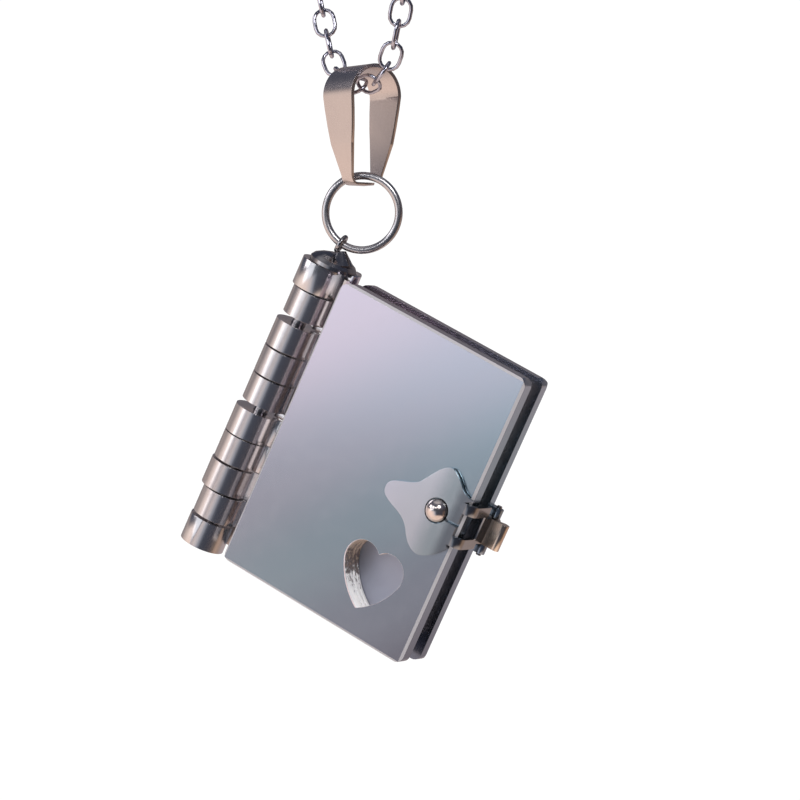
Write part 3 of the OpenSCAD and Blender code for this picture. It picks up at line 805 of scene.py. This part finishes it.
# %% Colours of the room
# Round the room: degrees from the front, rising towards the fore-edge side, and colour
ROUND_ROOM = (
    (-180, (0.20, 0.18, 0.19)), (-145, (0.24, 0.21, 0.22)), (-126, (0.34, 0.30, 0.30)),
    (-112, (0.42, 0.37, 0.36)), (-104, (0.50, 0.43, 0.41)), (-90, (0.78, 0.66, 0.60)),
    (-58, (1.30, 1.10, 1.0)), (-38, (1.10, 0.98, 0.95)), (-31, (0.34, 0.33, 0.38)),
    (-25, (0.28, 0.29, 0.34)), (-10, (0.12, 0.14, 0.18)), (15, (0.05, 0.06, 0.08)),
    (80, (0.04, 0.04, 0.05)), (110, (0.08, 0.06, 0.06)), (140, (0.20, 0.18, 0.19)),
    (180, (0.20, 0.18, 0.19)),
)
# The same between the horizon and the floor
LOW_ROOM = (
    (-180, (0.54, 0.46, 0.46)), (-130, (0.60, 0.50, 0.48)), (-90, (1.05, 0.85, 0.75)),
    (-50, (1.25, 1.02, 0.90)), (-28, (1.15, 0.96, 0.88)), (-10, (0.82, 0.78, 0.80)),
    (1, (0.40, 0.44, 0.52)), (12, (0.07, 0.08, 0.11)), (70, (0.06, 0.06, 0.08)),
    (90, (0.14, 0.10, 0.08)), (112, (0.60, 0.42, 0.32)), (135, (0.50, 0.38, 0.32)),
    (160, (0.54, 0.46, 0.46)), (180, (0.54, 0.46, 0.46)),
)
CEILING_TINT, ZENITH_TINT, FLOOR_TINT = (0.07, 0.08, 0.12), (0.55, 0.55, 0.58), (1.15, 0.93, 0.80)
# Height from 0, straight down, to 1, straight up: between which two each part takes over
CEILING_RISE, ZENITH_RISE = (0.56, 0.66), (0.92, 0.98)
LOW_FALL, FLOOR_FALL = (0.44, 0.478), (0.10, 0.16)
# How much higher the ceiling begins behind the locket
CEILING_LIFT = 0.14
print("room colours", len(ROUND_ROOM), "above the horizon", len(LOW_ROOM), "below it")

# %% Parts of the room
BLACK, WHITE = (0, 0, 0), (1, 1, 1)
ROOM_LIGHT, EVEN_LIGHT = 1.0, 1.05

world = bpy.data.worlds.new("studio")
scene.world = world
world.use_nodes = True
wt = world.node_tree
wt.nodes.clear()


def takes_over(height, low, high, below, above):
    """Mask along the height that changes softly from below to above between two heights."""
    return tints_along(wt, height, ((0.0, below), (low, below), (high, above), (1.0, above)), "EASE")


def tints_round(around, rows):
    """Colours round the room, from rows of degrees and colour."""
    return tints_along(wt, around, [((degrees + 180) / 360, tint) for degrees, tint in rows], "EASE")


def even_light(tint, strength):
    """Output of a background light of one strength, in one colour or in the room's colours."""
    n = wt.nodes.new("ShaderNodeBackground")
    wire(wt, n.inputs[0], tint)
    wire(wt, n.inputs[1], strength)
    return n.outputs[0]


print("world", world.name)

# %% The room
way = wt.nodes.new("ShaderNodeSeparateXYZ")
wt.links.new(wt.nodes.new("ShaderNodeTexCoord").outputs["Generated"], way.inputs[0])
heading = work_out(wt, "ARCTAN2", way.outputs[0], product(wt, way.outputs[1], -1.0))
around = spread(wt, heading, -math.pi, math.pi, 0.0, 1.0)
height = spread(wt, way.outputs[2], -1.0, 1.0, 0.0, 1.0)
behind = product(wt, work_out(wt, "MAXIMUM", way.outputs[1], 0.0), CEILING_LIFT)
ceiling_height = work_out(wt, "SUBTRACT", height, behind)
room = tints_round(around, ROUND_ROOM)
room = blend(wt, takes_over(ceiling_height, *CEILING_RISE, BLACK, WHITE), room, CEILING_TINT)
room = blend(wt, takes_over(height, *ZENITH_RISE, BLACK, WHITE), room, ZENITH_TINT)
room = blend(wt, takes_over(height, *LOW_FALL, WHITE, BLACK), room, tints_round(around, LOW_ROOM))
room = blend(wt, takes_over(height, *FLOOR_FALL, WHITE, BLACK), room, FLOOR_TINT)
mix = wt.nodes.new("ShaderNodeMixShader")
wt.links.new(wt.nodes.new("ShaderNodeLightPath").outputs["Is Glossy Ray"], mix.inputs[0])
wt.links.new(even_light(WHITE, EVEN_LIGHT), mix.inputs[1])
wt.links.new(even_light(room, ROOM_LIGHT), mix.inputs[2])
wt.links.new(mix.outputs[0], wt.nodes.new("ShaderNodeOutputWorld").inputs[0])
scene.view_settings.view_transform = "Standard"
scene.view_settings.look = "None"
print("room", len(wt.nodes), "nodes")

# %% [markdown]
# ## Soft panels
#
# A jeweller's photographer stands white cards and small lamps around a piece for the glints. One
# large soft panel stands where the cover mirrors it and gives the cover its sheen. The small ones
# put bright spots on the ball and the other round pieces. Area lights are used, because they
# show in the metal as the cards would. Their power grows with their area, so that a panel looks
# equally bright at any size.

# %% Panels
# Middle of the front cover
CENTRE = book(9.0, 0.0, 13.0)
# Way from there towards what the cover mirrors to the camera, and how far off the panels stand
MIRRORED = np.array([-0.483, -0.875, 0.0])
KEY_FAR, LAMP_FAR = 0.15, 0.35
# The key panel is moved from there a little towards the spine and upwards
KEY_SHIFT = np.array([-0.010, 0.0, 0.060])
KEY_SIZE, KEY_RADIANCE, KEY_COLOR = (0.12, 0.12), 1.05, (0.90, 0.95, 1.0)


def panel(name, at, size, radiance, color):
    """A soft rectangular light that faces the book and shows in its metal.

    power = pi x area x radiance
    """
    data = bpy.data.lights.new(name, "AREA")
    data.shape = "RECTANGLE"
    data.size, data.size_y = size
    data.energy = math.pi * size[0] * size[1] * radiance
    data.color = color
    obj = bpy.data.objects.new(name, data)
    scene.collection.objects.link(obj)
    obj.matrix_world = look(at, CENTRE)
    print(name, "power", round(data.energy, 4))


# Each lamp: name, way from the book's middle, size, radiance and colour
LAMPS = (
    ("glint", (0.13, -0.88, 0.45), (0.07, 0.05), 5.0, (1, 1, 1)),
    ("side_window", (-0.72, -0.45, 0.53), (0.14, 0.10), 3.0, (1.0, 0.95, 0.97)),
    ("window", (0.55, -0.60, 0.58), (0.12, 0.10), 9.0, (1, 1, 1)),
    ("glint_high", (-0.22, -0.83, 0.50), (0.04, 0.04), 7.0, (1, 1, 1)),
)
panel("key", CENTRE + KEY_FAR * MIRRORED + KEY_SHIFT, KEY_SIZE, KEY_RADIANCE, KEY_COLOR)
for name, way_out, size, radiance, color in LAMPS:
    panel(name, CENTRE + LAMP_FAR * np.array(way_out), size, radiance, color)

# %% [markdown]
# ## Floor
#
# A plain disc of pale paper lies under the locket, as in a studio. Glossy rays don't see it, so
# the metals mirror the room alone.

# %% Floor
FLOOR_Z, FLOOR_R, FLOOR_SIDES = -0.30, 0.45, 96
PAPER, PAPER_ROUGH = (0.92, 0.92, 0.92, 1), 0.8

angle = np.linspace(0, 2 * math.pi, FLOOR_SIDES, endpoint=False)
disc = np.stack([FLOOR_R * np.cos(angle), FLOOR_R * np.sin(angle), np.full(FLOOR_SIDES, FLOOR_Z)], 1)
floor_mesh = bpy.data.meshes.new("floor")
floor_mesh.from_pydata(disc.tolist(), [], [tuple(range(FLOOR_SIDES))])
paper = bpy.data.materials.new("floor_paper")
paper.use_nodes = True
paper_shader = paper.node_tree.nodes["Principled BSDF"].inputs
paper_shader["Base Color"].default_value = PAPER
paper_shader["Roughness"].default_value = PAPER_ROUGH
floor_mesh.materials.append(paper)
floor = bpy.data.objects.new("floor", floor_mesh)
scene.collection.objects.link(floor)
floor.visible_glossy = False
print("floor at", FLOOR_Z)
